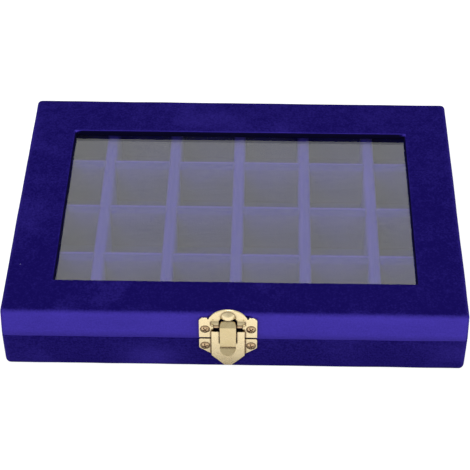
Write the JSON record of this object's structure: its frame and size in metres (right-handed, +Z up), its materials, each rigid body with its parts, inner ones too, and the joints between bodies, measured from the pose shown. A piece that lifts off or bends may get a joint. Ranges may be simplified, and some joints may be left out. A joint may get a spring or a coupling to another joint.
{
  "type": "ring display box",
  "caption": "Flat hinged box covered in velvet, with a glazed lid, a divided tray for rings and a brass snap latch on the front.",
  "frame": {"origin": "centre of the underside, on the table", "axes": "+X along the length to the right as seen from the latch, -Y towards the latch, +Z up"},
  "size_m": [0.2, 0.1607, 0.0355],
  "materials": {
    "velvet": "short pile velvet, royal blue",
    "lining_velvet": "flocked, dark blue",
    "greyboard": "pressed greyboard",
    "backing_paper": "matt black paper",
    "glass": "clear polished",
    "brass": "pale gilt plating, satin",
    "brass_screws": "brass plated, slightly darker"
  },
  "bodies": {
    "base": {"base_front_wall": "greyboard", "base_back_wall": "greyboard", "base_left_wall": "greyboard", "base_right_wall": "greyboard", "base_bottom_board": "greyboard", "base_velvet_cover": "velvet", "base_underside_sheet": "backing_paper", "tray_floor_pad": "lining_velvet", "tray_liner_front": "lining_velvet", "tray_liner_back": "lining_velvet", "tray_liner_left": "lining_velvet", "tray_liner_right": "lining_velvet", "row_divider_1": "lining_velvet", "row_divider_2": "lining_velvet", "row_divider_3": "lining_velvet", "column_divider_1": "lining_velvet", "column_divider_2": "lining_velvet", "column_divider_3": "lining_velvet", "column_divider_4": "lining_velvet", "column_divider_5": "lining_velvet", "hinge_left_base_leaf": "brass", "hinge_right_base_leaf": "brass", "hinge_left_pin": "brass_screws", "hinge_right_pin": "brass_screws", "hinge_base_screws": "brass_screws", "latch_keeper_plate": "brass", "latch_keeper_screws": "brass_screws"},
    "lid": {"lid_front_wall": "greyboard", "lid_back_wall": "greyboard", "lid_left_wall": "greyboard", "lid_right_wall": "greyboard", "lid_front_rail": "greyboard", "lid_back_rail": "greyboard", "lid_left_rail": "greyboard", "lid_right_rail": "greyboard", "lid_velvet_cover": "velvet", "glass_pane": "glass", "glazing_strip_front": "lining_velvet", "glazing_strip_back": "lining_velvet", "glazing_strip_left": "lining_velvet", "glazing_strip_right": "lining_velvet", "hinge_left_lid_leaf": "brass", "hinge_right_lid_leaf": "brass", "hinge_lid_screws": "brass_screws", "latch_catch_plate": "brass", "latch_catch_screws": "brass_screws", "latch_pin": "brass_screws"},
    "lever": {"latch_lever": "brass"}
  },
  "joints": [
    {"name": "lid_hinge", "type": "hinge", "parent": "base", "child": "lid", "pos_m": [0, 0.0771, 0.01815], "axis": [-1, 0, 0], "range_deg": [0, 175]},
    {"name": "lever_pivot", "type": "hinge", "parent": "lid", "child": "lever", "pos_m": [-0.0026, -0.0779, 0.0276], "axis": [-1, 0, 0], "range_deg": [0, 45]}
  ]
}
